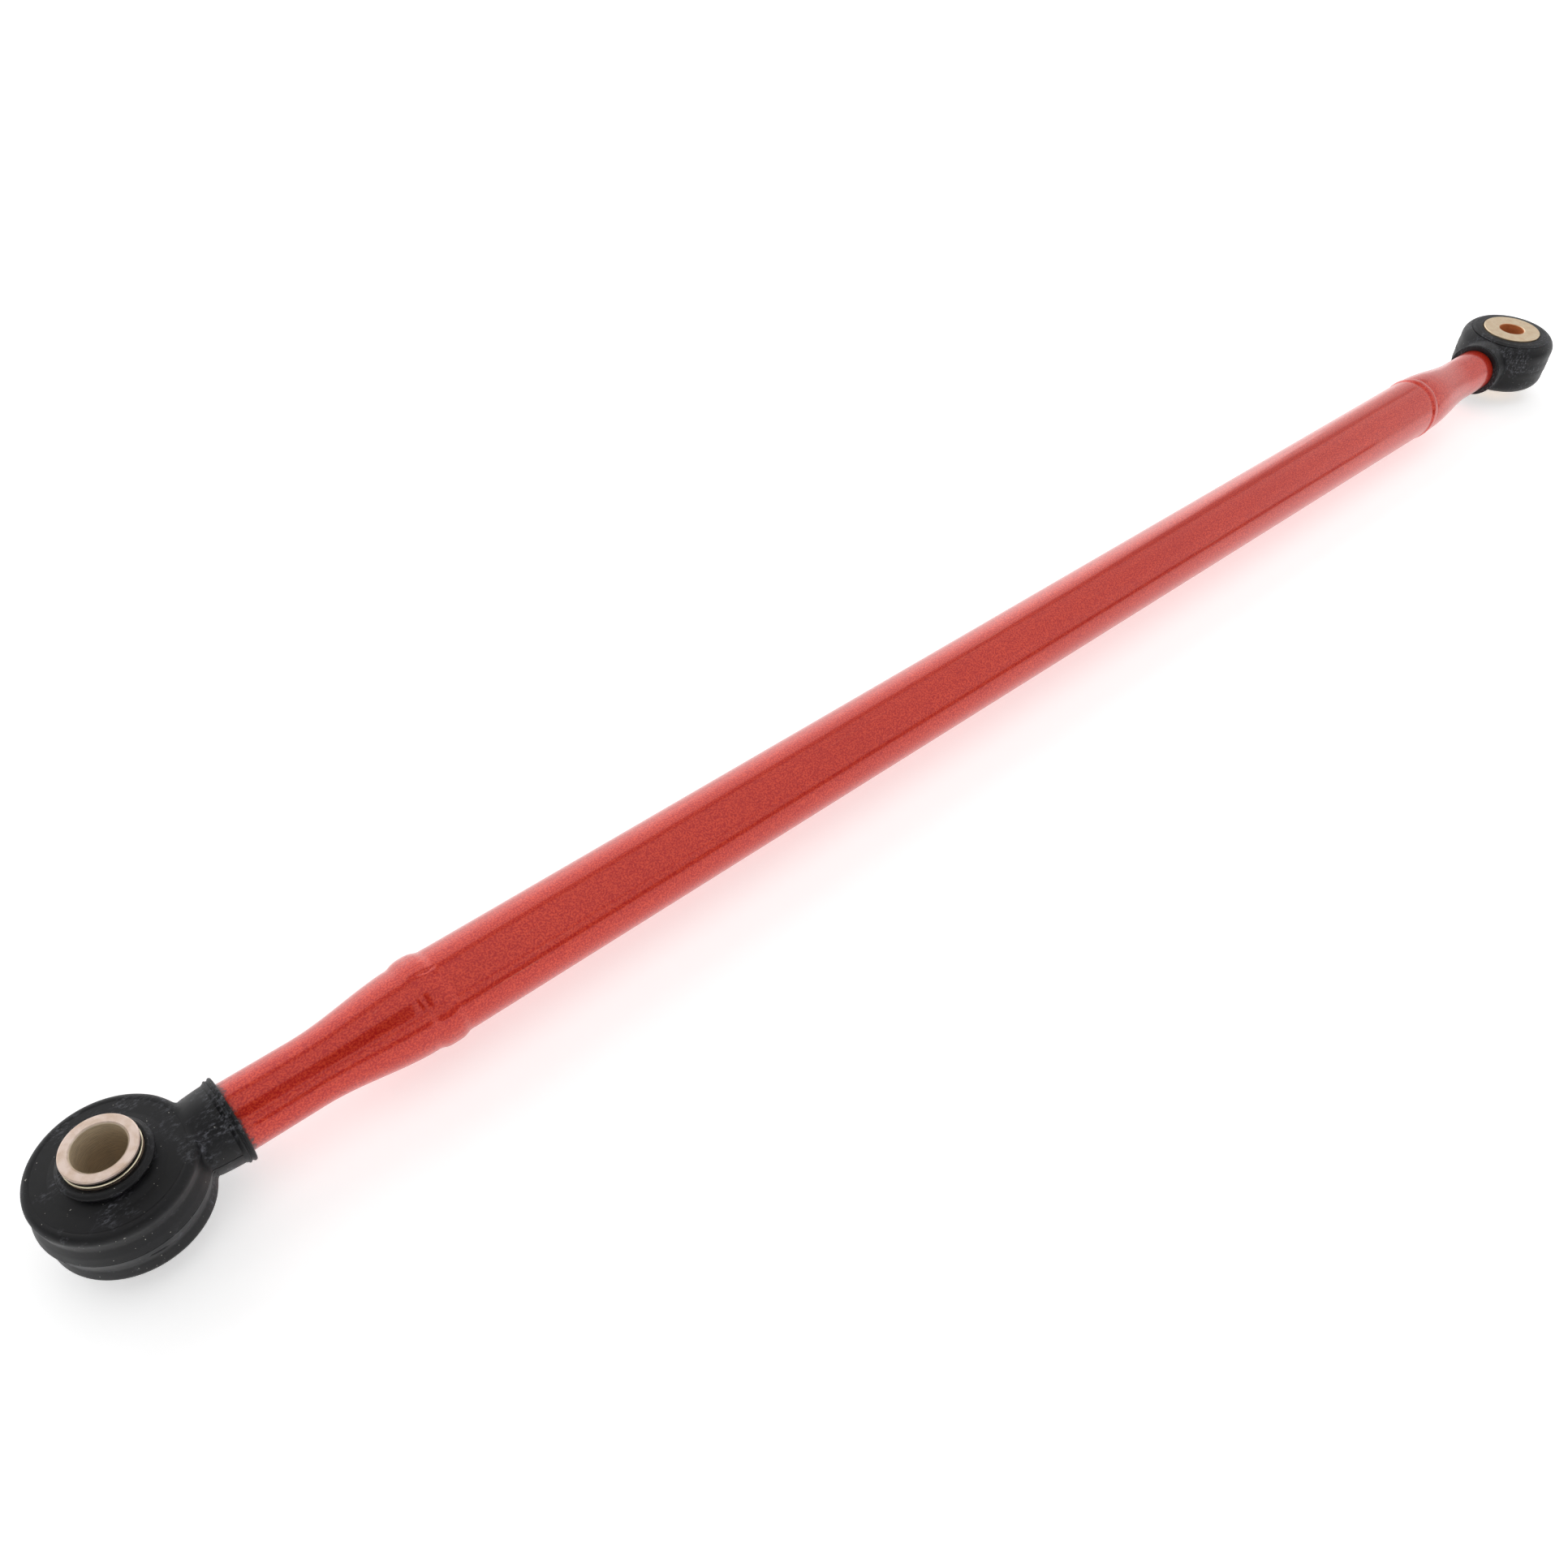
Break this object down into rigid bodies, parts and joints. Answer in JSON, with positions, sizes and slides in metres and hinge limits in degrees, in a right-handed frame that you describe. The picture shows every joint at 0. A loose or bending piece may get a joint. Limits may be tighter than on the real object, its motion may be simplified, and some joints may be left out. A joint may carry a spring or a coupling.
{
  "type": "suspension control arm",
  "caption": "Straight welded tube suspension link with a rubber-sealed ball joint at each end, long bolt sleeve at one end and flanged spacers at the other.",
  "frame": {"origin": "middle of the arm on its axis, which is the centre of the bounding box", "axes": "+X from the near joint (long sleeve) to the far joint (flanged spacers), +Z along both bolts"},
  "size_m": [0.8004, 0.046, 0.0392],
  "materials": {
    "red_powder_coat": "satin powder coat with a fine texture",
    "black_rubber": "matte moulded rubber, scuffed",
    "plated_sleeve_steel": "turned, thin warm plating",
    "ground_ball_steel": "ground",
    "spring_steel": "oiled",
    "white_acetal": "moulded"
  },
  "bodies": {
    "arm": {"main_tube": "red_powder_coat", "near_forged_end": "red_powder_coat", "near_weld_bead": "red_powder_coat", "near_bearing_race": "ground_ball_steel", "near_retaining_ring": "spring_steel", "near_boot": "black_rubber", "near_upper_membrane": "black_rubber", "near_lower_membrane": "black_rubber", "far_forged_end": "red_powder_coat", "far_weld_bead": "red_powder_coat", "far_bearing_race": "ground_ball_steel", "far_retaining_ring": "spring_steel", "far_boot": "black_rubber", "far_upper_membrane": "black_rubber", "far_lower_membrane": "black_rubber"},
    "near_liner_body": {"near_bearing_liner": "white_acetal"},
    "near_lip_body": {"near_upper_lip": "black_rubber", "near_lower_lip": "black_rubber", "near_upper_lip_ring": "plated_sleeve_steel", "near_lower_lip_ring": "plated_sleeve_steel"},
    "near_ball_body": {"near_ball_sleeve": "plated_sleeve_steel"},
    "far_liner_body": {"far_bearing_liner": "white_acetal"},
    "far_lip_body": {"far_upper_lip": "black_rubber", "far_lower_lip": "black_rubber"},
    "far_ball_body": {"far_ball": "ground_ball_steel", "far_upper_spacer": "plated_sleeve_steel", "far_lower_spacer": "plated_sleeve_steel"}
  },
  "joints": [
    {"name": "near_roll", "type": "hinge", "parent": "arm", "child": "near_liner_body", "pos_m": [-0.37725, 0, 0], "axis": [1, 0, 0], "range_deg": [-10, 10], "deforming": ["near_upper_membrane", "near_lower_membrane"]},
    {"name": "near_pitch", "type": "hinge", "parent": "near_liner_body", "child": "near_lip_body", "pos_m": [-0.37725, 0, 0], "axis": [0, 1, 0], "range_deg": [-10, 10]},
    {"name": "near_swing", "type": "hinge", "parent": "near_lip_body", "child": "near_ball_body", "pos_m": [-0.37725, 0, 0], "axis": [0, 0, 1], "continuous": true},
    {"name": "far_roll", "type": "hinge", "parent": "arm", "child": "far_liner_body", "pos_m": [0.37725, 0, 0], "axis": [1, 0, 0], "range_deg": [-8, 8], "deforming": ["far_upper_membrane", "far_lower_membrane"]},
    {"name": "far_pitch", "type": "hinge", "parent": "far_liner_body", "child": "far_lip_body", "pos_m": [0.37725, 0, 0], "axis": [0, 1, 0], "range_deg": [-8, 8]},
    {"name": "far_swing", "type": "hinge", "parent": "far_lip_body", "child": "far_ball_body", "pos_m": [0.37725, 0, 0], "axis": [0, 0, 1], "continuous": true}
  ]
}
